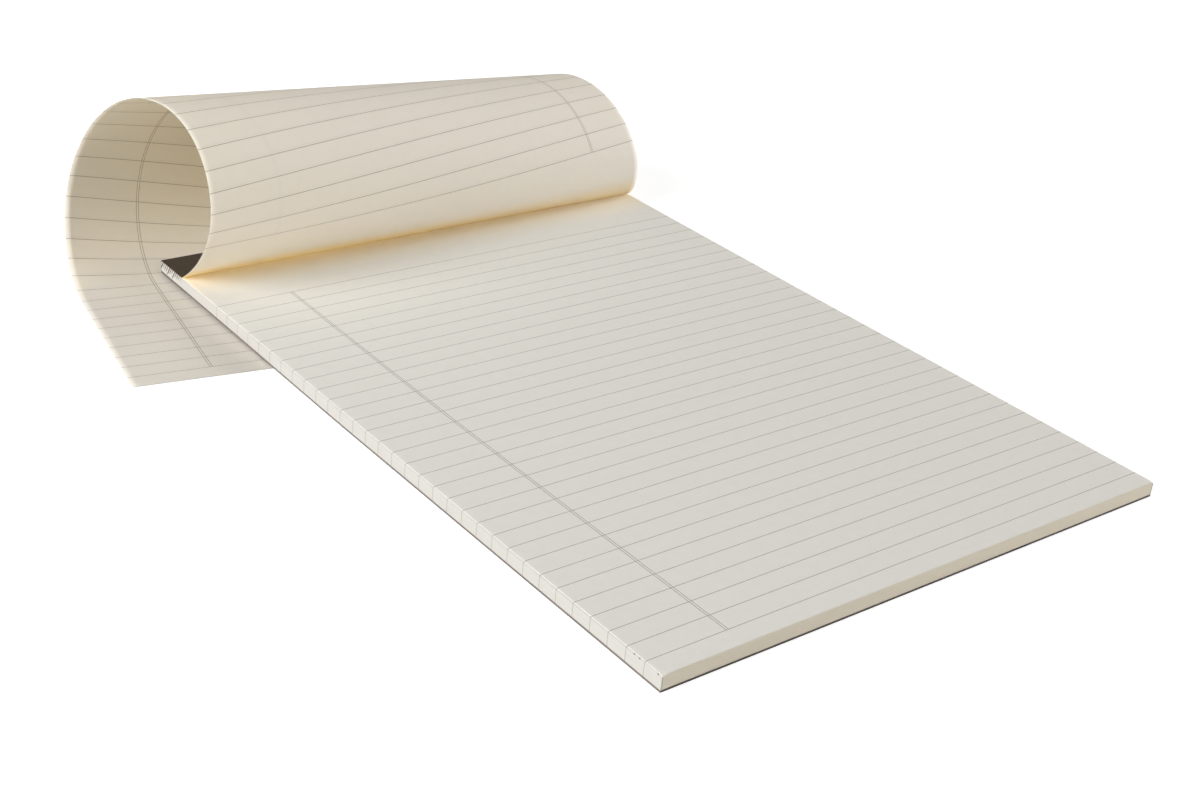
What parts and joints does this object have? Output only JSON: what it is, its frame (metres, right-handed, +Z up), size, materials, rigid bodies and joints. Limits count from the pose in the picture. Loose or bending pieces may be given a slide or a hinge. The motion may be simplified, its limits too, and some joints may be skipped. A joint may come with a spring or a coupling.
{
  "type": "legal pad",
  "caption": "Ruled writing pad lying flat, bound at the head with dark tape, its top sheet turned over the head in a roll that ends under the pad.",
  "frame": {"origin": "middle of the backing board's underside, where the pad rests on the table", "axes": "+X to the right across the page, +Y up the page to the bound head, +Z up out of the page"},
  "size_m": [0.2572, 0.3375, 0.0729],
  "materials": {
    "sheet_paper": "matt uncoated",
    "block_paper": "matt uncoated",
    "board": "matt pressed board",
    "tape": "satin grained",
    "stitch_wire": "drawn wire"
  },
  "bodies": {
    "root": {"turned_sheet": "sheet_paper", "page_block": "block_paper", "backing_board": "board", "binding_tape": "tape", "wire_stitch_left": "stitch_wire", "wire_stitch_right": "stitch_wire"}
  },
  "joints": []
}
